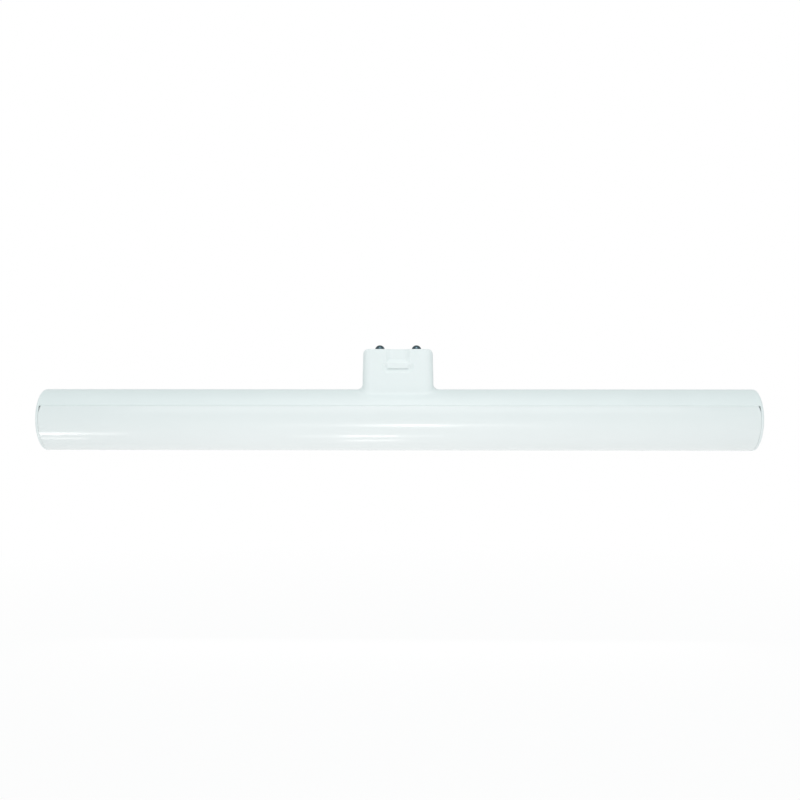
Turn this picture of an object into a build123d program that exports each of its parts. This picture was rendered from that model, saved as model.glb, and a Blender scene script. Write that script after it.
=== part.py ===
from build123d import *
import math
import os

# Sizes in mm. Z is up, the tube lies along X, and the origin is the middle of the cap's top face.

# Tube
tube_length = 300.0
tube_diameter = 26.0
housing_wall = 1.6
diffuser_wall = 1.2
end_wall = 1.2
end_round = 0.8
seam_angle = 25.0  # parting line above the tube's widest line, in degrees
seam_bevel = 0.65
seam_step = 0.35
seam_gap = 0.02

# Cap
cap_height = 16.5  # top face above the crown of the tube
cap_length = 29.15
cap_width = 14.0
cap_corner = 3.0
cap_draft = 1.25
cap_shoulder = 2.2
cap_edge = 0.3
cap_wall = 1.6
cap_top_wall = 2.2
root_fillet = 2.4

# Latch recess on each long face of the cap
channel_width = 9.9
channel_depth = 1.05
channel_slope = 60.0
channel_foot = 6.0  # where the ramp comes out to the face, below the top
tooth_width = 8.9
tooth_height = 2.0
catch_width = 13.1
catch_height = 4.1
catch_depth = 1.05
catch_corner = 2.1
catch_slope = 61.0
latch_backing = 1.3

# Contact studs
contact_spacing = 15.5
contact_diameter = 4.2
contact_land = 0.3
contact_dome = 1.9
shank_diameter = 2.6
shank_fit = 0.02
boss_wall = 1.5
boss_height = 1.6
tail_length = 2.2
cup_depth = 1.6

# Snap joint along the seam
tongue_wall = 0.9
tongue_height = 1.6
tongue_root = 1.2
tongue_clearance = 0.1
bead_radius = 0.35
bead_rise = 0.9
bead_clearance = 0.08
diffuser_edge_round = 0.05
diffuser_end_gap = 0.1
relief_length = 0.7
relief_drop = 3.0

# LED board, clamped between the housing's rails and the diffuser's ledges
led_board_rise = 3.0  # underside above the tube axis
led_board_width = 17.2
led_board_thickness = 1.0
led_board_end_gap = 0.6
ledge_thickness = 1.2
ledge_overlap = 1.0
rail_spacing = 8.8
rail_wall = 1.0
rail_setback = 4.0

# LEDs
led_count = 30
led_margin = 6.0
led_length = 3.5
led_width = 2.8
led_height = 0.8
led_rim = 0.4
led_dish = 0.15

# Driver board and the parts on it, placed by their middles along X
driver_board_length = 66.0
driver_board_thickness = 1.0
driver_board_side_gap = 0.2
board_spacing = 1.0
stake_x = 27.0
stake_post_width = 3.0
stake_pin_width = 1.4
stake_head_width = 2.4
stake_head_height = 0.4
hole_clearance = 0.06
lead_width = 0.8
lead_stub = 0.5
link_x = 30.6
link_spacing = 5.0
link_width = 0.64
link_end = 0.5
capacitor_diameter = 6.3
capacitor_length = 10.0
capacitor_groove = 0.6
capacitor_groove_turn = 45.0
capacitor_groove_setback = 1.6
component_lift = 0.1
capacitor_lead_spacing = 2.5
capacitor_lead_reach = 1.1
wire_diameter = 0.6
choke_x = 15.4
choke_size = 5.0
choke_height = 2.2
choke_chamfer = 0.9
chip_x = 21.6
chip_length = 4.9
chip_lead_pitch = 1.27
chip_lead_count = 4
bridge_x = -14.6
bridge_length = 4.7
bridge_lead_pitch = 2.5
bridge_lead_count = 2
pack_width = 3.6
pack_height = 1.4
pack_standoff = 0.1
pack_draft = 6.0
pack_lead_width = 0.4
pack_lead_thickness = 0.2
pack_lead_reach = 1.0
pack_foot = 0.5
resistor_x = -21.4
resistor_length = 5.0
resistor_diameter = 2.2
resistor_lead_reach = 0.7

# Worked-out values
tube_radius = tube_diameter / 2
shell_radius = tube_radius - housing_wall
axis_drop = cap_height + tube_radius
seam_rise = tube_radius * math.sin(math.radians(seam_angle))
bay_length = tube_length - 2 * end_wall
diffuser_length = bay_length - 2 * diffuser_end_gap
tongue_radius = shell_radius - tongue_clearance
bead_height = seam_rise + bead_rise
bead_offset = math.sqrt(tongue_radius**2 - bead_height**2)
axis_height = -axis_drop
led_board_bottom = axis_height + led_board_rise
led_board_top = led_board_bottom + led_board_thickness
driver_bottom = led_board_top + board_spacing
driver_top = driver_bottom + driver_board_thickness
shell_middle = shell_radius + housing_wall / 2
contact_x = contact_spacing / 2
tail_end = -(cap_top_wall + boss_height + tail_length)
cup_top = tail_end + cup_depth
draft_run = math.tan(math.radians(cap_draft))
channel_run = channel_depth * math.tan(math.radians(channel_slope))
link_hole = link_width + 2 * hole_clearance
lead_hole = lead_width + 2 * hole_clearance
stake_hole = stake_pin_width + 2 * hole_clearance
cup_radius = lead_width / math.sqrt(2) + hole_clearance

# Tube section: local x is Y, local y is height over the tube axis
section = Plane(origin=(0, 0, axis_height), x_dir=(0, 1, 0), z_dir=(1, 0, 0))

# Long faces of the cap, leaning by the draft: local x runs along, local y runs up to the top edge
lean_out = math.cos(math.radians(cap_draft))
lean_up = math.sin(math.radians(cap_draft))
front_face = Plane(origin=(0, -cap_width / 2, 0), x_dir=(1, 0, 0), z_dir=(0, -lean_out, lean_up))
back_face = Plane(origin=(0, cap_width / 2, 0), x_dir=(-1, 0, 0), z_dir=(0, lean_out, lean_up))

# Cap form: drafted plan, cut to its front outline with round shoulders and to its end outline
with BuildPart() as cap_form:
    foot_spread = axis_drop * draft_run
    with BuildSketch(Plane.XY):
        RectangleRounded(cap_length, cap_width, cap_corner)
    extrude(amount=-axis_drop, taper=-cap_draft)
    with BuildSketch(Plane.XZ) as front_outline:
        with BuildLine():
            Polyline(
                (-cap_length / 2, 0),
                (cap_length / 2, 0),
                (cap_length / 2 + foot_spread, -axis_drop),
                (-cap_length / 2 - foot_spread, -axis_drop),
                close=True,
            )
        make_face()
        fillet(front_outline.vertices().group_by(Axis.Y)[-1], cap_shoulder)
    extrude(amount=cap_width, both=True, mode=Mode.INTERSECT)
    with BuildSketch(Plane.YZ) as end_outline:
        with BuildLine():
            Polyline(
                (-cap_width / 2, 0),
                (cap_width / 2, 0),
                (cap_width / 2 + foot_spread, -axis_drop),
                (-cap_width / 2 - foot_spread, -axis_drop),
                close=True,
            )
        make_face()
        fillet(end_outline.vertices().group_by(Axis.Y)[-1], cap_edge)
    extrude(amount=cap_length, both=True, mode=Mode.INTERSECT)

# Housing: tube back, cap, end walls and the seats for everything inside, one moulding
with BuildPart() as housing:
    with BuildSketch(section):
        Circle(tube_radius)
    extrude(amount=tube_length / 2, both=True)
    fillet(housing.edges().filter_by(GeomType.CIRCLE), end_round)
    add(cap_form.part)
    root_low = axis_height + seam_rise
    root_high = axis_height + tube_radius + root_fillet / 2
    root_edges = housing.edges().filter_by_position(Axis.Z, root_low, root_high)
    root_edges = root_edges.filter_by_position(Axis.X, -cap_length, cap_length)
    root_edges = root_edges.filter_by(lambda edge: edge.length < tube_length / 2)
    fillet(root_edges, root_fillet)

    # Hollow between the end walls, open below the seam, with the bead grooves
    with BuildSketch(section):
        Circle(shell_radius)
        with Locations((0, seam_rise - tube_diameter)):
            Rectangle(2 * tube_diameter, 2 * tube_diameter)
        with Locations((bead_offset, bead_height), (-bead_offset, bead_height)):
            Circle(bead_radius + bead_clearance)
    extrude(amount=bay_length / 2, both=True, mode=Mode.SUBTRACT)

    # Well inside the cap, through to the hollow
    with BuildSketch(Plane.XY.offset(-cap_top_wall)):
        RectangleRounded(cap_length - 2 * cap_wall, cap_width - 2 * cap_wall, cap_corner - cap_wall)
    extrude(amount=driver_top + cap_top_wall, taper=-cap_draft, mode=Mode.SUBTRACT)

    # Backing pads keep the wall behind the latch recesses
    pad_inner = cap_width / 2 - channel_depth - latch_backing
    pad_outer = cap_width / 2 - cap_wall / 2
    pad_foot = channel_foot + catch_height + latch_backing
    pad_middle = (pad_inner + pad_outer) / 2
    with BuildSketch(Plane.XY.offset(-cap_top_wall / 2)):
        with Locations((0, pad_middle), (0, -pad_middle)):
            Rectangle(catch_width + 2 * latch_backing, pad_outer - pad_inner)
    extrude(amount=cap_top_wall / 2 - pad_foot)

    # Entry channel with its ramp, the catch pocket under it and the tooth between
    with BuildSketch(front_face, back_face):
        with Locations((0, (2 * channel_run - channel_foot) / 2)):
            Rectangle(channel_width, 2 * channel_run + channel_foot)
    extrude(amount=-channel_depth, taper=channel_slope, mode=Mode.SUBTRACT)
    with BuildSketch(front_face, back_face) as catch:
        with Locations((0, -channel_foot - catch_height / 2)):
            Rectangle(catch_width, catch_height)
        fillet(catch.vertices().group_by(Axis.Y)[0], catch_corner)
    extrude(amount=-catch_depth, taper=catch_slope, mode=Mode.SUBTRACT)
    with BuildSketch(front_face, back_face):
        with Locations((0, -channel_foot - tooth_height / 2)):
            Rectangle(tooth_width, tooth_height)
    extrude(amount=-catch_depth)

    # Bosses and holes for the contact studs
    with BuildSketch(Plane.XY.offset(-cap_top_wall / 2)):
        with Locations((contact_x, 0), (-contact_x, 0)):
            Rectangle(shank_diameter + 2 * boss_wall, shank_diameter + 2 * boss_wall)
    extrude(amount=-(boss_height + cap_top_wall / 2))
    with Locations((contact_x, 0, 0), (-contact_x, 0, 0)):
        Hole(radius=shank_diameter / 2 + shank_fit, depth=cap_top_wall + boss_height)

    # Rails that bear on the LED board
    rail_offset = (rail_spacing + rail_wall) / 2
    rail_low = led_board_top - axis_height
    rail_high = math.sqrt(shell_middle**2 - (rail_offset + rail_wall / 2) ** 2)
    rail_middle = (rail_low + rail_high) / 2
    rail_start = cap_length / 2 + rail_setback
    rail_length = bay_length / 2 - rail_start
    rail_x = rail_start + rail_length / 2
    with BuildSketch(section.offset(rail_x), section.offset(-rail_x)):
        with Locations((rail_offset, rail_middle), (-rail_offset, rail_middle)):
            Rectangle(rail_wall, rail_high - rail_low)
    extrude(amount=rail_length / 2, both=True)

    # Stakes that hold the driver board: post, pin through the board, melted head
    with BuildSketch(Plane.XY.offset(driver_top)):
        with Locations((stake_x, 0), (-stake_x, 0)):
            Rectangle(stake_post_width, stake_post_width)
    extrude(amount=axis_height + shell_middle - driver_top)
    with BuildSketch(Plane.XY.offset(driver_top)):
        with Locations((stake_x, 0), (-stake_x, 0)):
            Rectangle(stake_pin_width, stake_pin_width)
    extrude(amount=-(driver_board_thickness + stake_head_height))
    with BuildSketch(Plane.XY.offset(driver_bottom)):
        with Locations((stake_x, 0), (-stake_x, 0)):
            Rectangle(stake_head_width, stake_head_width)
    extrude(amount=-stake_head_height)

    # Bevelled lower edges along the seam, measured down the skin and in along the joint
    seam_edges = housing.edges().filter_by(Axis.X)
    seam_edges = seam_edges.filter_by_position(
        Axis.Z, axis_height + seam_rise - seam_gap, axis_height + seam_rise + seam_gap
    )
    seam_outer = seam_edges.sort_by(lambda edge: abs(edge.center().Y))[-2:]
    skin = housing.faces().filter_by(GeomType.CYLINDER).sort_by(SortBy.AREA)[-1]
    chamfer(seam_outer, seam_bevel, seam_step, reference=skin)

# Diffuser: opal cover with a snap tongue and a board ledge along each edge
with BuildPart() as diffuser:
    seam_top = seam_rise - seam_gap
    with BuildSketch(section) as cover:
        Circle(tube_radius)
        Circle(tube_radius - diffuser_wall, mode=Mode.SUBTRACT)
        with Locations((0, seam_top + tube_diameter)):
            Rectangle(2 * tube_diameter, 2 * tube_diameter, mode=Mode.SUBTRACT)
        cover_corners = cover.vertices().sort_by(Axis.X)
        fillet([cover_corners[0], cover_corners[-1]], diffuser_edge_round)
    extrude(amount=diffuser_length / 2, both=True)
    with BuildSketch(section):
        Circle(tube_radius - diffuser_wall / 2)
        Circle(tongue_radius - tongue_wall, mode=Mode.SUBTRACT)
        with Locations((0, seam_top - tongue_root / 2)):
            Rectangle(2 * tube_diameter, tongue_root, mode=Mode.INTERSECT)
    extrude(amount=diffuser_length / 2, both=True)
    with BuildSketch(section):
        Circle(tongue_radius)
        Circle(tongue_radius - tongue_wall, mode=Mode.SUBTRACT)
        with Locations((0, seam_top + (tongue_height - tongue_root) / 2)):
            Rectangle(2 * tube_diameter, tongue_height + tongue_root, mode=Mode.INTERSECT)
        with Locations((bead_offset, bead_height), (-bead_offset, bead_height)):
            Circle(bead_radius)
    extrude(amount=diffuser_length / 2, both=True)
    with BuildSketch(section):
        Circle(tube_radius - diffuser_wall / 2)
        with Locations((0, led_board_rise - ledge_thickness / 2)):
            Rectangle(2 * tube_diameter, ledge_thickness, mode=Mode.INTERSECT)
            Rectangle(led_board_width - 2 * ledge_overlap, ledge_thickness, mode=Mode.SUBTRACT)
    extrude(amount=diffuser_length / 2, both=True)

    # Relief at the four upper corners
    relief_x = diffuser_length / 2
    relief_z = axis_height + seam_rise + tongue_height
    relief_low = axis_height + seam_rise - relief_drop
    with BuildSketch(Plane.XZ):
        with BuildLine():
            Polyline(
                (relief_x + end_wall, relief_z),
                (relief_x - relief_length, relief_z),
                (relief_x - relief_length, axis_height + seam_rise),
                (relief_x, relief_low),
                (relief_x + end_wall, relief_low),
                close=True,
            )
        make_face()
        mirror(about=Plane.YZ)
    extrude(amount=tube_diameter, both=True, mode=Mode.SUBTRACT)

# Contact studs: domed head on the cap, shank through the wall, solder cup at the tail
with BuildPart() as contact_studs:
    with BuildSketch(Plane.XZ):
        with BuildLine():
            TangentArc(
                (contact_x, contact_land + contact_dome),
                (contact_x + contact_diameter / 2, contact_land),
                tangent=(1, 0),
            )
            Polyline(
                (contact_x + contact_diameter / 2, contact_land),
                (contact_x + contact_diameter / 2, 0),
                (contact_x + shank_diameter / 2, 0),
                (contact_x + shank_diameter / 2, tail_end),
                (contact_x + cup_radius, tail_end),
                (contact_x + cup_radius, cup_top),
                (contact_x, cup_top),
                (contact_x, contact_land + contact_dome),
            )
        make_face()
    revolve(axis=Axis((contact_x, 0, 0), (0, 0, 1)))
    mirror(about=Plane.YZ)

# Contact leads: from the solder cups down through the driver board
with BuildPart() as contact_leads:
    with BuildSketch(Plane.XY.offset(cup_top)):
        with Locations((contact_x, 0), (-contact_x, 0)):
            Rectangle(lead_width, lead_width)
    extrude(amount=driver_bottom - lead_stub - cup_top)

# LED board
with BuildPart() as led_board:
    led_board_length = bay_length - 2 * led_board_end_gap
    with BuildSketch(Plane.XY.offset(led_board_bottom)):
        Rectangle(led_board_length, led_board_width)
        with Locations((link_x, link_spacing / 2), (link_x, -link_spacing / 2)):
            Rectangle(link_hole, link_hole, mode=Mode.SUBTRACT)
    extrude(amount=led_board_thickness)

# LED packages, a row facing down, each with a shallow phosphor dish
with BuildPart() as led_packages:
    led_pitch = (led_board_length - 2 * led_margin) / (led_count - 1)
    with BuildSketch(Plane.XY.offset(led_board_bottom)):
        with GridLocations(led_pitch, led_pitch, led_count, 1):
            Rectangle(led_length, led_width)
    extrude(amount=-led_height)
    with BuildSketch(Plane.XY.offset(led_board_bottom - led_height)):
        with GridLocations(led_pitch, led_pitch, led_count, 1):
            Rectangle(led_length - 2 * led_rim, led_width - 2 * led_rim)
    extrude(amount=led_dish, mode=Mode.SUBTRACT)

# Driver board, with holes for the stakes, leads and link pins
with BuildPart() as driver_board:
    capacitor_lead_x = capacitor_length / 2 + capacitor_lead_reach
    resistor_lead_x = resistor_length / 2 + resistor_lead_reach
    wire_hole = wire_diameter / 2 + hole_clearance
    with BuildSketch(Plane.XY.offset(driver_bottom)):
        Rectangle(driver_board_length, rail_spacing - 2 * driver_board_side_gap)
        with Locations((stake_x, 0), (-stake_x, 0)):
            Rectangle(stake_hole, stake_hole, mode=Mode.SUBTRACT)
        with Locations((contact_x, 0), (-contact_x, 0)):
            Rectangle(lead_hole, lead_hole, mode=Mode.SUBTRACT)
        with Locations((link_x, link_spacing / 2), (link_x, -link_spacing / 2)):
            Rectangle(link_hole, link_hole, mode=Mode.SUBTRACT)
        with Locations((capacitor_lead_x, 0)):
            with GridLocations(capacitor_lead_spacing, capacitor_lead_spacing, 1, 2):
                Circle(wire_hole, mode=Mode.SUBTRACT)
        with Locations((resistor_x - resistor_lead_x, 0), (resistor_x + resistor_lead_x, 0)):
            Circle(wire_hole, mode=Mode.SUBTRACT)
    extrude(amount=driver_board_thickness)

# Link pins between the two boards
with BuildPart() as link_pins:
    with BuildSketch(Plane.XY.offset(led_board_bottom - link_end)):
        with Locations((link_x, link_spacing / 2), (link_x, -link_spacing / 2)):
            Rectangle(link_width, link_width)
    extrude(amount=driver_top - led_board_bottom + 2 * link_end)

# Bulk capacitor lying on the driver board, crimped near its lead end, leads bent down
with BuildPart() as bulk_capacitor:
    capacitor_radius = capacitor_diameter / 2
    capacitor_axis = driver_top + component_lift + capacitor_radius
    groove_x = capacitor_length / 2 - capacitor_groove_setback
    with BuildSketch(Plane.YZ.offset(-capacitor_length / 2)):
        with Locations((0, capacitor_axis)):
            Circle(capacitor_radius)
    extrude(amount=capacitor_length)
    with BuildSketch(Plane.XZ):
        with Locations((groove_x, capacitor_axis + capacitor_radius)):
            Rectangle(capacitor_groove, capacitor_groove, rotation=capacitor_groove_turn)
    revolve(axis=Axis((0, 0, capacitor_axis), (1, 0, 0)), mode=Mode.SUBTRACT)
    for side in (-capacitor_lead_spacing / 2, capacitor_lead_spacing / 2):
        with BuildLine(Plane.XZ.offset(side)) as lead_path:
            Polyline(
                (capacitor_length / 2 - wire_diameter, capacitor_axis),
                (capacitor_lead_x, capacitor_axis),
                (capacitor_lead_x, driver_bottom - lead_stub),
            )
        with BuildSketch(Plane(origin=lead_path.line @ 0, z_dir=lead_path.line % 0)):
            Circle(wire_diameter / 2)
        sweep(path=lead_path.line, transition=Transition.RIGHT)

# Fusible resistor: round body, leads bent down through the board
with BuildPart() as fuse_resistor:
    resistor_radius = resistor_diameter / 2
    resistor_axis = driver_top + component_lift + resistor_radius
    with BuildSketch(Plane.YZ.offset(resistor_x - resistor_length / 2)):
        with Locations((0, resistor_axis)):
            Circle(resistor_radius)
    extrude(amount=resistor_length)
    with BuildLine(Plane.XZ) as resistor_path:
        Polyline(
            (resistor_x - resistor_lead_x, driver_bottom - lead_stub),
            (resistor_x - resistor_lead_x, resistor_axis),
            (resistor_x + resistor_lead_x, resistor_axis),
            (resistor_x + resistor_lead_x, driver_bottom - lead_stub),
        )
    with BuildSketch(Plane(origin=resistor_path.line @ 0, z_dir=resistor_path.line % 0)):
        Circle(wire_diameter / 2)
    sweep(path=resistor_path.line, transition=Transition.RIGHT)

# Choke: square block with its corners cut off
with BuildPart() as choke:
    with BuildSketch(Plane.XY.offset(driver_top)) as choke_plan:
        with Locations((choke_x, 0)):
            Rectangle(choke_size, choke_size)
        chamfer(choke_plan.vertices(), choke_chamfer)
    extrude(amount=choke_height)


def flat_pack(middle_x, body_length, lead_pitch, lead_count):
    # Moulded body with a row of bent leads down each long side
    lead_level = driver_top + pack_standoff + pack_height / 2
    knee = pack_width / 2 + pack_lead_reach - pack_foot
    toe = pack_width / 2 + pack_lead_reach
    lead_planes = []
    for number in range(lead_count):
        lead_x = middle_x + (number - (lead_count - 1) / 2) * lead_pitch
        lead_planes.append(Plane.YZ.offset(lead_x))
    with BuildPart() as pack:
        with BuildSketch(*lead_planes):
            with BuildLine():
                Polyline(
                    (0, lead_level),
                    (knee, lead_level),
                    (knee, driver_top + pack_lead_thickness),
                    (toe, driver_top + pack_lead_thickness),
                    (toe, driver_top),
                    (knee - pack_lead_thickness, driver_top),
                    (knee - pack_lead_thickness, lead_level - pack_lead_thickness),
                    (0, lead_level - pack_lead_thickness),
                    close=True,
                )
            make_face()
            mirror(about=Plane.YZ)
        extrude(amount=pack_lead_width / 2, both=True)
        with BuildSketch(Plane.XY.offset(driver_top + pack_standoff)):
            with Locations((middle_x, 0)):
                Rectangle(body_length, pack_width)
        extrude(amount=pack_height, taper=pack_draft)
    return pack


driver_chip = flat_pack(chip_x, chip_length, chip_lead_pitch, chip_lead_count)
bridge_rectifier = flat_pack(bridge_x, bridge_length, bridge_lead_pitch, bridge_lead_count)

housing.part.label = "housing"
diffuser.part.label = "diffuser"
contact_studs.part.label = "contact_studs"
contact_leads.part.label = "contact_leads"
led_board.part.label = "led_board"
led_packages.part.label = "led_packages"
driver_board.part.label = "driver_board"
link_pins.part.label = "link_pins"
bulk_capacitor.part.label = "bulk_capacitor"
fuse_resistor.part.label = "fuse_resistor"
choke.part.label = "choke"
driver_chip.part.label = "driver_chip"
bridge_rectifier.part.label = "bridge_rectifier"

os.makedirs("parts", exist_ok=True)
export_step(housing.part, "parts/housing.step")
export_step(diffuser.part, "parts/diffuser.step")
export_step(contact_studs.part, "parts/contact_studs.step")
export_step(contact_leads.part, "parts/contact_leads.step")
export_step(led_board.part, "parts/led_board.step")
export_step(led_packages.part, "parts/led_packages.step")
export_step(driver_board.part, "parts/driver_board.step")
export_step(link_pins.part, "parts/link_pins.step")
export_step(bulk_capacitor.part, "parts/bulk_capacitor.step")
export_step(fuse_resistor.part, "parts/fuse_resistor.step")
export_step(choke.part, "parts/choke.step")
export_step(driver_chip.part, "parts/driver_chip.step")
export_step(bridge_rectifier.part, "parts/bridge_rectifier.step")
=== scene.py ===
import bpy
import math
from mathutils import Matrix, Vector


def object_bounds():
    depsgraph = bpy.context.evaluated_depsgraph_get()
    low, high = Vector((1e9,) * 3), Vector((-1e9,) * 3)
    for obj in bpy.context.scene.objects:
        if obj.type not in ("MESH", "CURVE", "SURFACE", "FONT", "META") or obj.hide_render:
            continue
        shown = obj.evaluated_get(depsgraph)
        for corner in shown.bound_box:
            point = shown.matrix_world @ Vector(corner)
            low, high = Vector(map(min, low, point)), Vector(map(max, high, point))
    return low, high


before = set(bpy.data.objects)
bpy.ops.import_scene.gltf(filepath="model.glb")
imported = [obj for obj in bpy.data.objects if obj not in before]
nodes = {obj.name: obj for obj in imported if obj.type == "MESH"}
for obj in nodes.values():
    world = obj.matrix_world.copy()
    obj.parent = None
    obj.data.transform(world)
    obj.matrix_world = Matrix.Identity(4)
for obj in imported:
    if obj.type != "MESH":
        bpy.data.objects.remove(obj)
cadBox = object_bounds()
print("frame loaded:", len(nodes), "nodes")

mmPerMetre = 1000  # names that end in Mm are millimetres, other sizes and places are metres
noiseSpan = (0.3, 0.7)  # where nearly all of a noise texture's values lie


def hexColor(text):
    # sRGB hex to linear
    channels = [int(text[i:i + 2], 16) / 255 for i in (0, 2, 4)]
    linear = [c / 12.92 if c <= 0.04045 else ((c + 0.055) / 1.055) ** 2.4 for c in channels]
    return (*linear, 1.0)


def addNode(tree, kind, settings=None, values=None, links=None):
    # one node: its settings, its socket values and what its inputs are linked from
    node = tree.nodes.new(kind)
    for name, value in (settings or {}).items():
        setattr(node, name, value)
    for name, value in (values or {}).items():
        node.inputs[name].default_value = value
    for name, source in (links or {}).items():
        tree.links.new(source, node.inputs[name])
    return node


def newMaterial(name):
    material = bpy.data.materials.new(name)
    material.use_nodes = True
    material.node_tree.nodes.clear()
    return material, material.node_tree


def wear(nodeName, material):
    # the CAD node keeps its shape and takes this material
    mesh = nodes[nodeName].data
    mesh.materials.clear()
    mesh.materials.append(material)


# injection-moulded polyester from a spark-eroded mould: satin, cool white, faint flow clouds
# its grain is too fine to show, so it is drawn coarser
housingLook = {"light": "f0f4f4", "cloud": "edf1f1", "cloudMm": 14.0, "cloudDetail": 2.0,
               "roughness": (0.5, 0.6), "ior": 1.5, "specular": 0.3,
               "grainMm": 0.35, "grainDetail": 2.0, "grainDepthMm": 0.004, "grainStrength": 0.25}


def makeHousingPlastic(look):
    material, tree = newMaterial("satinWhitePolyester")
    coords = addNode(tree, "ShaderNodeTexCoord")
    clouds = addNode(tree, "ShaderNodeTexNoise", None,
                     {"Scale": mmPerMetre / look["cloudMm"], "Detail": look["cloudDetail"]},
                     {"Vector": coords.outputs["Object"]})
    color = addNode(tree, "ShaderNodeMix", {"data_type": "RGBA"},
                    {6: hexColor(look["cloud"]), 7: hexColor(look["light"])}, {0: clouds.outputs["Fac"]})
    grain = addNode(tree, "ShaderNodeTexNoise", None,
                    {"Scale": mmPerMetre / look["grainMm"], "Detail": look["grainDetail"]},
                    {"Vector": coords.outputs["Object"]})
    satin = addNode(tree, "ShaderNodeMapRange", None,
                    {"From Min": noiseSpan[0], "From Max": noiseSpan[1],
                     "To Min": look["roughness"][0], "To Max": look["roughness"][1]},
                    {"Value": grain.outputs["Fac"]})
    bump = addNode(tree, "ShaderNodeBump", None,
                   {"Strength": look["grainStrength"], "Distance": look["grainDepthMm"] / mmPerMetre},
                   {"Height": grain.outputs["Fac"]})
    shader = addNode(tree, "ShaderNodeBsdfPrincipled", None,
                     {"IOR": look["ior"], "Specular IOR Level": look["specular"]},
                     {"Base Color": color.outputs[2], "Roughness": satin.outputs["Result"],
                      "Normal": bump.outputs["Normal"]})
    addNode(tree, "ShaderNodeOutputMaterial", None, None, {"Surface": shader.outputs["BSDF"]})
    return material


# extruded opal polycarbonate: milky white and glossy, with die lines drawn along the tube
# the lines are too fine to show, so they are drawn coarser
diffuserLook = {"light": "eef1f1", "cloud": "ebeeee", "cloudMm": 30.0, "cloudDetail": 1.0,
                "roughness": 0.15, "ior": 1.585, "dieLineMm": 0.9, "dieLineDetail": 1.0,
                "dieLineStretch": 100, "dieLineDepthMm": 0.0012, "dieLineStrength": 0.3}


def makeOpalPolycarbonate(look):
    material, tree = newMaterial("opalPolycarbonate")
    coords = addNode(tree, "ShaderNodeTexCoord")
    clouds = addNode(tree, "ShaderNodeTexNoise", None,
                     {"Scale": mmPerMetre / look["cloudMm"], "Detail": look["cloudDetail"]},
                     {"Vector": coords.outputs["Object"]})
    color = addNode(tree, "ShaderNodeMix", {"data_type": "RGBA"},
                    {6: hexColor(look["cloud"]), 7: hexColor(look["light"])}, {0: clouds.outputs["Fac"]})
    drawn = addNode(tree, "ShaderNodeMapping", None, {"Scale": (1 / look["dieLineStretch"], 1, 1)},
                    {"Vector": coords.outputs["Object"]})
    lines = addNode(tree, "ShaderNodeTexNoise", None,
                    {"Scale": mmPerMetre / look["dieLineMm"], "Detail": look["dieLineDetail"]},
                    {"Vector": drawn.outputs["Vector"]})
    bump = addNode(tree, "ShaderNodeBump", None,
                   {"Strength": look["dieLineStrength"], "Distance": look["dieLineDepthMm"] / mmPerMetre},
                   {"Height": lines.outputs["Fac"]})
    shader = addNode(tree, "ShaderNodeBsdfPrincipled", None,
                     {"Roughness": look["roughness"], "IOR": look["ior"]},
                     {"Base Color": color.outputs[2], "Normal": bump.outputs["Normal"]})
    addNode(tree, "ShaderNodeOutputMaterial", None, None, {"Surface": shader.outputs["BSDF"]})
    return material


# brass turned to a dome and nickel-plated: dark teal-grey metal, a painted dark reflection of the
# surroundings, with duller patches and turning rings
# the rings are too fine to show, so they are drawn coarser
# both tones are far darker than nickel: painted dark reflection; the noise only picks duller patches between
# them
contactLook = {"light": "41535a", "dull": "324248", "dullMm": 1.2, "dullDetail": 3.0,
               "roughness": (0.3, 0.42), "middleMm": 7.75,
               "ringMm": 0.22, "ringDepthMm": 0.003, "ringStrength": 0.2}


def makeNickelPlate(look):
    material, tree = newMaterial("nickelPlatedBrass")
    coords = addNode(tree, "ShaderNodeTexCoord")
    parts = addNode(tree, "ShaderNodeSeparateXYZ", None, None, {"Vector": coords.outputs["Object"]})
    mirrored = addNode(tree, "ShaderNodeMath", {"operation": "ABSOLUTE"}, None, {0: parts.outputs["X"]})
    across = addNode(tree, "ShaderNodeMath", {"operation": "SUBTRACT"}, {1: look["middleMm"] / mmPerMetre},
                     {0: mirrored.outputs[0]})
    flat = addNode(tree, "ShaderNodeCombineXYZ", None, None,
                   {"X": across.outputs[0], "Y": parts.outputs["Y"]})
    radius = addNode(tree, "ShaderNodeVectorMath", {"operation": "LENGTH"}, None, {0: flat.outputs["Vector"]})
    turns = addNode(tree, "ShaderNodeMath", {"operation": "MULTIPLY"},
                    {1: 2 * math.pi * mmPerMetre / look["ringMm"]}, {0: radius.outputs["Value"]})
    rings = addNode(tree, "ShaderNodeMath", {"operation": "SINE"}, None, {0: turns.outputs[0]})
    bump = addNode(tree, "ShaderNodeBump", None,
                   {"Strength": look["ringStrength"], "Distance": look["ringDepthMm"] / mmPerMetre},
                   {"Height": rings.outputs[0]})
    dull = addNode(tree, "ShaderNodeTexNoise", None,
                   {"Scale": mmPerMetre / look["dullMm"], "Detail": look["dullDetail"]},
                   {"Vector": coords.outputs["Object"]})
    # the dark teal-grey of both tones is a painted reflection of dark surroundings
    color = addNode(tree, "ShaderNodeMix", {"data_type": "RGBA"},
                    {6: hexColor(look["light"]), 7: hexColor(look["dull"])}, {0: dull.outputs["Fac"]})
    gloss = addNode(tree, "ShaderNodeMapRange", None,
                    {"From Min": noiseSpan[0], "From Max": noiseSpan[1],
                     "To Min": look["roughness"][0], "To Max": look["roughness"][1]},
                    {"Value": dull.outputs["Fac"]})
    shader = addNode(tree, "ShaderNodeBsdfPrincipled", None, {"Metallic": 1.0},
                     {"Base Color": color.outputs[2], "Roughness": gloss.outputs["Result"],
                      "Normal": bump.outputs["Normal"]})
    addNode(tree, "ShaderNodeOutputMaterial", None, None, {"Surface": shader.outputs["BSDF"]})
    return material


wear("housing", makeHousingPlastic(housingLook))
wear("diffuser", makeOpalPolycarbonate(diffuserLook))
wear("contact_studs", makeNickelPlate(contactLook))
print("outer finishes on")

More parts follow.
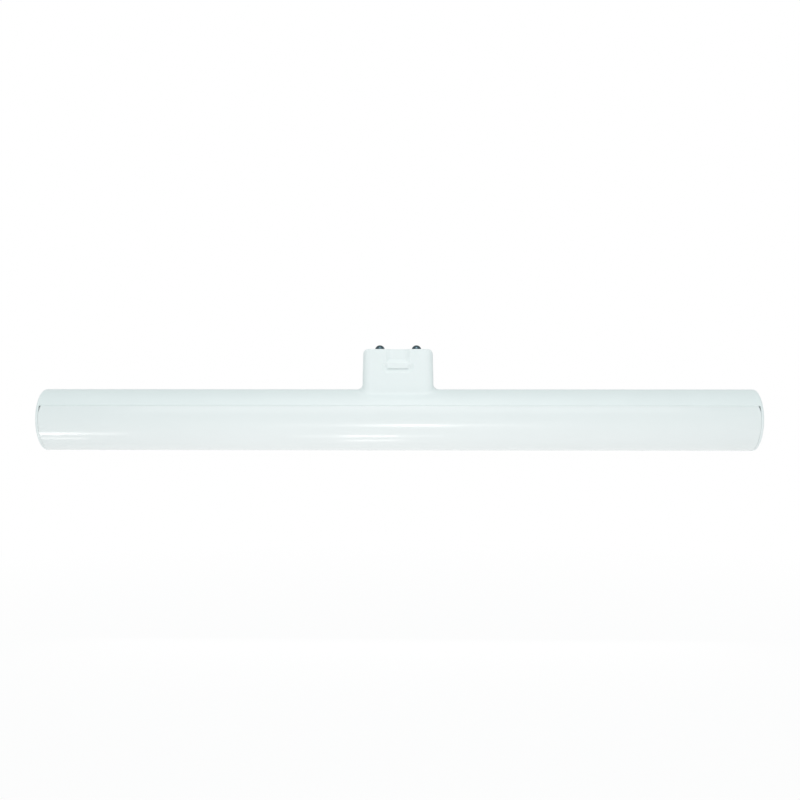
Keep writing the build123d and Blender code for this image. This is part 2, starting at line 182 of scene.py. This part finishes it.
# what is inside: each finish is a speckle of two tones, drawn coarser than a real grit or grain
insideLooks = {
    # hot-dip tinned copper: pale grey metal, slightly patchy
    "contact_leads": {"material": "tinnedCopperLead", "dark": "a9adae", "light": "c6c9c9",
                      "speckleMm": 0.7, "roughness": (0.25, 0.38), "metal": 1.0},
    # drawn brass pin, tinned: pale grey metal, a little smoother
    "link_pins": {"material": "tinnedBrassPin", "dark": "aeb0ae", "light": "cbccc8",
                  "speckleMm": 0.5, "roughness": (0.22, 0.34), "metal": 1.0},
    # white solder mask over glass cloth: silky, faintly mottled
    "led_board": {"material": "whiteSolderMask", "dark": "e6e7e2", "light": "f0f1ec",
                  "speckleMm": 0.5, "roughness": (0.35, 0.5), "metal": 0.0},
    # green solder mask over glass cloth: deep green, half glossy
    "driver_board": {"material": "greenSolderMask", "dark": "1f5a36", "light": "2a7044",
                     "speckleMm": 0.5, "roughness": (0.3, 0.45), "metal": 0.0},
    # shrunk vinyl sleeve: dark blue, smooth, tinned wires
    "bulk_capacitor": {"material": "vinylSleeve", "dark": "1c2433", "light": "252f42",
                       "speckleMm": 1.5, "roughness": (0.3, 0.4),
                       "leadAxis": "X", "bodyMiddleMm": 0.0, "bodyHalfMm": 5.0},
    # dipped flameproof lacquer: grey green, dull, tinned wires
    "fuse_resistor": {"material": "flameproofLacquer", "dark": "6f7f75", "light": "82928a",
                      "speckleMm": 0.4, "roughness": (0.5, 0.65),
                      "leadAxis": "X", "bodyMiddleMm": -21.4, "bodyHalfMm": 2.5},
    # pressed and sintered ferrite: charcoal, gritty
    "choke": {"material": "sinteredFerrite", "dark": "2c2d30", "light": "404145",
              "speckleMm": 0.15, "roughness": (0.6, 0.8), "metal": 0.0},
    # transfer-moulded epoxy: matt black, tinned legs
    "driver_chip": {"material": "blackMouldedEpoxy", "dark": "18191a", "light": "232425",
                    "speckleMm": 0.2, "roughness": (0.55, 0.7),
                    "leadAxis": "Y", "bodyMiddleMm": 0.0, "bodyHalfMm": 1.81},
}
speckleLook = {"detail": 3.0, "strength": 0.2, "depthShare": 0.05}
tinLook = {"color": "c2c5c5", "roughness": 0.3, "slackMm": 0.001}


def makeInsideFinish(look):
    material, tree = newMaterial(look["material"])
    coords = addNode(tree, "ShaderNodeTexCoord")
    speckle = addNode(tree, "ShaderNodeTexNoise", None,
                      {"Scale": mmPerMetre / look["speckleMm"], "Detail": speckleLook["detail"]},
                      {"Vector": coords.outputs["Object"]})
    color = addNode(tree, "ShaderNodeMix", {"data_type": "RGBA"},
                    {6: hexColor(look["dark"]), 7: hexColor(look["light"])}, {0: speckle.outputs["Fac"]})
    gloss = addNode(tree, "ShaderNodeMapRange", None,
                    {"From Min": noiseSpan[0], "From Max": noiseSpan[1],
                     "To Min": look["roughness"][0], "To Max": look["roughness"][1]},
                    {"Value": speckle.outputs["Fac"]})
    depthMm = look["speckleMm"] * speckleLook["depthShare"]
    bump = addNode(tree, "ShaderNodeBump", None,
                   {"Strength": speckleLook["strength"], "Distance": depthMm / mmPerMetre},
                   {"Height": speckle.outputs["Fac"]})
    if "leadAxis" not in look:
        shader = addNode(tree, "ShaderNodeBsdfPrincipled", None, {"Metallic": look["metal"]},
                         {"Base Color": color.outputs[2], "Roughness": gloss.outputs["Result"],
                          "Normal": bump.outputs["Normal"]})
    else:
        # what reaches past the body is a bare tinned wire or leg
        reachMm = look["bodyHalfMm"] + tinLook["slackMm"]
        parts = addNode(tree, "ShaderNodeSeparateXYZ", None, None, {"Vector": coords.outputs["Object"]})
        offset = addNode(tree, "ShaderNodeMath", {"operation": "SUBTRACT"},
                         {1: look["bodyMiddleMm"] / mmPerMetre}, {0: parts.outputs[look["leadAxis"]]})
        reach = addNode(tree, "ShaderNodeMath", {"operation": "ABSOLUTE"}, None, {0: offset.outputs[0]})
        lead = addNode(tree, "ShaderNodeMath", {"operation": "GREATER_THAN"}, {1: reachMm / mmPerMetre},
                       {0: reach.outputs[0]})
        tinned = addNode(tree, "ShaderNodeMix", {"data_type": "RGBA"}, {7: hexColor(tinLook["color"])},
                         {0: lead.outputs[0], 6: color.outputs[2]})
        smooth = addNode(tree, "ShaderNodeMix", {"data_type": "FLOAT"}, {3: tinLook["roughness"]},
                         {0: lead.outputs[0], 2: gloss.outputs["Result"]})
        shader = addNode(tree, "ShaderNodeBsdfPrincipled", None, None,
                         {"Base Color": tinned.outputs[2], "Roughness": smooth.outputs[0],
                          "Metallic": lead.outputs[0], "Normal": bump.outputs["Normal"]})
    addNode(tree, "ShaderNodeOutputMaterial", None, None, {"Surface": shader.outputs["BSDF"]})
    return material


for nodeName, look in insideLooks.items():
    wear(nodeName, makeInsideFinish(look))
wear("bridge_rectifier", nodes["driver_chip"].data.materials[0])

# white moulded LED bodies, each dish filled with yellow phosphor in silicone, its grain drawn coarser
ledLook = {"body": "f0efe8", "phosphorDark": "d9b03a", "phosphorLight": "ecca58",
           "grainMm": 0.12, "grainDetail": 2.0, "roughness": 0.42,
           "dishHalfMm": 1.01, "dishLowMm": -27.22, "dishHighMm": -27.05}


def makeLedFinish(look):
    material, tree = newMaterial("mouldedLedWithPhosphor")
    coords = addNode(tree, "ShaderNodeTexCoord")
    parts = addNode(tree, "ShaderNodeSeparateXYZ", None, None, {"Vector": coords.outputs["Object"]})
    across = addNode(tree, "ShaderNodeMath", {"operation": "ABSOLUTE"}, None, {0: parts.outputs["Y"]})
    inWidth = addNode(tree, "ShaderNodeMath", {"operation": "LESS_THAN"},
                      {1: look["dishHalfMm"] / mmPerMetre}, {0: across.outputs[0]})
    above = addNode(tree, "ShaderNodeMath", {"operation": "GREATER_THAN"},
                    {1: look["dishLowMm"] / mmPerMetre}, {0: parts.outputs["Z"]})
    below = addNode(tree, "ShaderNodeMath", {"operation": "LESS_THAN"},
                    {1: look["dishHighMm"] / mmPerMetre}, {0: parts.outputs["Z"]})
    inHeight = addNode(tree, "ShaderNodeMath", {"operation": "MULTIPLY"}, None,
                       {0: above.outputs[0], 1: below.outputs[0]})
    dish = addNode(tree, "ShaderNodeMath", {"operation": "MULTIPLY"}, None,
                   {0: inWidth.outputs[0], 1: inHeight.outputs[0]})
    grain = addNode(tree, "ShaderNodeTexNoise", None,
                    {"Scale": mmPerMetre / look["grainMm"], "Detail": look["grainDetail"]},
                    {"Vector": coords.outputs["Object"]})
    phosphor = addNode(tree, "ShaderNodeMix", {"data_type": "RGBA"},
                       {6: hexColor(look["phosphorDark"]), 7: hexColor(look["phosphorLight"])},
                       {0: grain.outputs["Fac"]})
    color = addNode(tree, "ShaderNodeMix", {"data_type": "RGBA"}, {6: hexColor(look["body"])},
                    {0: dish.outputs[0], 7: phosphor.outputs[2]})
    shader = addNode(tree, "ShaderNodeBsdfPrincipled", None, {"Roughness": look["roughness"]},
                     {"Base Color": color.outputs[2]})
    addNode(tree, "ShaderNodeOutputMaterial", None, None, {"Surface": shader.outputs["BSDF"]})
    return material


wear("led_packages", makeLedFinish(ledLook))
print("inside finishes on")

# viewpoint worked out from the photograph: close, level, a little low and to the right
view = {"focusPixels": 942.5, "imagePixels": 800, "sensorMm": 36.0, "distanceMm": 400.2, "heightMm": -37.5,
        "sideMm": 0.817, "yawDeg": 0.842, "rollDeg": 0.075, "shift": 0.0485, "clipMm": 10.0}


def makeCamera(view):
    yaw = math.radians(view["yawDeg"])
    roll = math.radians(view["rollDeg"])
    data = bpy.data.cameras.new("camera")
    data.sensor_width = view["sensorMm"]
    data.lens = view["sensorMm"] * view["focusPixels"] / view["imagePixels"]
    data.shift_y = view["shift"]
    data.clip_start = view["clipMm"] / mmPerMetre
    camera = bpy.data.objects.new("camera", data)
    bpy.context.scene.collection.objects.link(camera)
    xMm = view["sideMm"] * math.cos(yaw) + view["distanceMm"] * math.sin(yaw)
    yMm = view["sideMm"] * math.sin(yaw) - view["distanceMm"] * math.cos(yaw)
    camera.location = (xMm / mmPerMetre, yMm / mmPerMetre, view["heightMm"] / mmPerMetre)
    level = Matrix.Rotation(yaw, 3, "Z") @ Matrix.Rotation(math.pi / 2, 3, "X")
    camera.rotation_euler = (level @ Matrix.Rotation(roll, 3, "Z")).to_euler()
    bpy.context.scene.camera = camera


makeCamera(view)
bpy.context.scene.view_settings.view_transform = "Standard"
print("camera set")

# studio: cool fill that is weaker from behind and from the sides, warmer key from above the camera
studio = {"fill": 0.848, "fillTint": "f1ffff",
          "shadeFrom": (0.0, 0.8, 0.6), "shadeSpan": (0.1, 0.9), "shadeTo": 0.6,
          "sideSpan": (0.5, 1.0), "sideTo": 0.55,
          "key": 0.197, "keyTint": "fff5f5", "keyFrom": (0.0, -0.64, 0.768)}
white = (1.0, 1.0, 1.0, 1.0)


def seenDirectly(tree):
    # 1 for rays that come from the camera, or by way of a mirror-like or clear surface
    rays = addNode(tree, "ShaderNodeLightPath")
    first = addNode(tree, "ShaderNodeMath", {"operation": "MAXIMUM"}, None,
                    {0: rays.outputs["Is Camera Ray"], 1: rays.outputs["Is Glossy Ray"]})
    both = addNode(tree, "ShaderNodeMath", {"operation": "MAXIMUM"}, None,
                   {0: first.outputs[0], 1: rays.outputs["Is Transmission Ray"]})
    return both.outputs[0]


def makeWorld(studio):
    world = bpy.data.worlds.new("studio")
    bpy.context.scene.world = world
    world.use_nodes = True
    tree = world.node_tree
    tree.nodes.clear()
    coords = addNode(tree, "ShaderNodeTexCoord")
    toKey = addNode(tree, "ShaderNodeVectorMath", {"operation": "DOT_PRODUCT"}, {1: studio["keyFrom"]},
                    {0: coords.outputs["Generated"]})
    level = addNode(tree, "ShaderNodeMapRange", None, {"To Max": studio["key"]},
                    {"Value": toKey.outputs["Value"]})
    key = addNode(tree, "ShaderNodeBackground", None, {"Color": hexColor(studio["keyTint"])},
                  {"Strength": level.outputs["Result"]})
    toShade = addNode(tree, "ShaderNodeVectorMath", {"operation": "DOT_PRODUCT"}, {1: studio["shadeFrom"]},
                      {0: coords.outputs["Generated"]})
    behind = addNode(tree, "ShaderNodeMapRange", {"interpolation_type": "SMOOTHSTEP"},
                     {"From Min": studio["shadeSpan"][0], "From Max": studio["shadeSpan"][1],
                      "To Min": studio["fill"], "To Max": studio["fill"] * studio["shadeTo"]},
                     {"Value": toShade.outputs["Value"]})
    axes = addNode(tree, "ShaderNodeSeparateXYZ", None, None, {"Vector": coords.outputs["Generated"]})
    aside = addNode(tree, "ShaderNodeMath", {"operation": "ABSOLUTE"}, None, {0: axes.outputs["X"]})
    sides = addNode(tree, "ShaderNodeMapRange", {"interpolation_type": "SMOOTHSTEP"},
                    {"From Min": studio["sideSpan"][0], "From Max": studio["sideSpan"][1],
                     "To Min": 1.0, "To Max": studio["sideTo"]},
                    {"Value": aside.outputs[0]})
    shaded = addNode(tree, "ShaderNodeMath", {"operation": "MULTIPLY"}, None,
                     {0: behind.outputs["Result"], 1: sides.outputs["Result"]})
    fill = addNode(tree, "ShaderNodeBackground", None, {"Color": hexColor(studio["fillTint"])},
                   {"Strength": shaded.outputs[0]})
    soft = addNode(tree, "ShaderNodeAddShader", None, None, {0: key.outputs[0], 1: fill.outputs[0]})
    backdrop = addNode(tree, "ShaderNodeBackground", None, {"Color": white, "Strength": 1.0})
    pick = addNode(tree, "ShaderNodeMixShader", None, None,
                   {"Fac": seenDirectly(tree), 1: soft.outputs[0], 2: backdrop.outputs[0]})
    addNode(tree, "ShaderNodeOutputWorld", None, None, {"Surface": pick.outputs[0]})


# white paper sweep below the lamp: its white grows with distance, so no horizon shows
floorLook = {"drop": 0.15, "size": 4.0, "color": "f2f2f2", "whiteShare": (0.93, 1.0), "fade": (0.25, 1.0)}


def makeFloor(look):
    bpy.ops.object.select_all(action="DESELECT")
    low = min(corner[2] for corner in cadBox)
    bpy.ops.mesh.primitive_plane_add(size=look["size"], location=(0, 0, low - look["drop"]))
    floor = bpy.context.object
    floor.name = "floor"
    material, tree = newMaterial("whitePaperSweep")
    paper = addNode(tree, "ShaderNodeBsdfDiffuse", None, {"Color": hexColor(look["color"])})
    backdrop = addNode(tree, "ShaderNodeEmission", None, {"Color": white, "Strength": 1.0})
    coords = addNode(tree, "ShaderNodeTexCoord")
    away = addNode(tree, "ShaderNodeVectorMath", {"operation": "LENGTH"}, None, {0: coords.outputs["Object"]})
    fade = addNode(tree, "ShaderNodeMapRange", None,
                   {"From Min": look["fade"][0], "From Max": look["fade"][1],
                    "To Min": look["whiteShare"][0], "To Max": look["whiteShare"][1]},
                   {"Value": away.outputs["Value"]})
    share = addNode(tree, "ShaderNodeMath", {"operation": "MULTIPLY"}, None,
                    {0: fade.outputs["Result"], 1: seenDirectly(tree)})
    pick = addNode(tree, "ShaderNodeMixShader", None, None,
                   {"Fac": share.outputs[0], 1: paper.outputs[0], 2: backdrop.outputs[0]})
    addNode(tree, "ShaderNodeOutputMaterial", None, None, {"Surface": pick.outputs[0]})
    floor.data.materials.append(material)


# softboxes only shade, and gloss lamps only draw highlights; all face the line of the tube's axis
aimHeight = -0.03
softboxes = {
    "highSoftbox": {"at": (0.008, -0.19, 0.1), "aimX": 0.008, "size": (0.2, 0.12), "watts": 0.0494},
    "lowSoftbox": {"at": (0.005, -0.22, -0.165), "aimX": 0.008, "size": (0.32, 0.08), "watts": 0.0835},
    "underSoftbox": {"at": (0.005, -0.03, -0.187), "aimX": 0.008, "size": (0.44, 0.2), "watts": 0.156},
    "backSoftbox": {"at": (0.0, 0.35, -0.1), "aimX": 0.0, "size": (0.5, 0.16), "watts": 0.42},
}
glossLamps = {
    "topLamp": {"at": (0.006, -0.22, 0.33), "aimX": 0.006, "size": (0.12, 0.12), "watts": 1.24},
    "highLamp": {"at": (0.005, -0.24, 0.14), "aimX": 0.005, "size": (0.4, 0.12), "watts": 0.127},
    # long streak in the middle
    "cameraLamp": {"at": (0.004, -0.36, -0.17), "aimX": 0.004, "size": (0.045, 0.06), "watts": 0.06},
    "cameraLampWide": {"at": (0.004, -0.36, -0.17), "aimX": 0.004, "size": (0.12, 0.06), "watts": 0.035},
    "cameraLampTail": {"at": (0.004, -0.36, -0.17), "aimX": 0.004, "size": (0.22, 0.06), "watts": 0.04},
    # two shorter streaks below it
    "lowLamp": {"at": (-0.0185, -0.082, -0.182), "aimX": -0.012, "size": (0.03, 0.02), "watts": 0.009},
    "lowLampTail": {"at": (-0.019, -0.082, -0.182), "aimX": -0.014, "size": (0.085, 0.02), "watts": 0.007},
    "underLamp": {"at": (-0.016, -0.024, -0.184), "aimX": -0.01, "size": (0.035, 0.018), "watts": 0.006},
    # two streaks at the left end
    "leftLamp": {"at": (-0.212, -0.105, -0.171), "aimX": -0.212, "size": (0.035, 0.025), "watts": 0.0149},
    "leftLampTail": {"at": (-0.202, -0.106, -0.171), "aimX": -0.202, "size": (0.076, 0.03), "watts": 0.0155},
    "leftUnderLamp": {"at": (-0.203, -0.043, -0.172), "aimX": -0.203, "size": (0.05, 0.015), "watts": 0.0092},
}


def makeLamps(lamps, draws, tint):
    for name, lamp in lamps.items():
        data = bpy.data.lights.new(name, "AREA")
        data.shape = "RECTANGLE"
        data.size, data.size_y = lamp["size"]
        data.energy = lamp["watts"]
        data.color = hexColor(tint)[:3]
        lampObject = bpy.data.objects.new(name, data)
        bpy.context.scene.collection.objects.link(lampObject)
        lampObject.location = lamp["at"]
        toTube = Vector((lamp["aimX"], 0, aimHeight)) - Vector(lamp["at"])
        lampObject.rotation_euler = toTube.to_track_quat("-Z", "Y").to_euler()
        lampObject.visible_camera = False
        lampObject.visible_glossy = draws == "gloss"
        lampObject.visible_diffuse = draws == "shade"


makeWorld(studio)
makeFloor(floorLook)
makeLamps(softboxes, "shade", studio["keyTint"])
makeLamps(glossLamps, "gloss", studio["keyTint"])
print("studio lit")

print("scene ready")
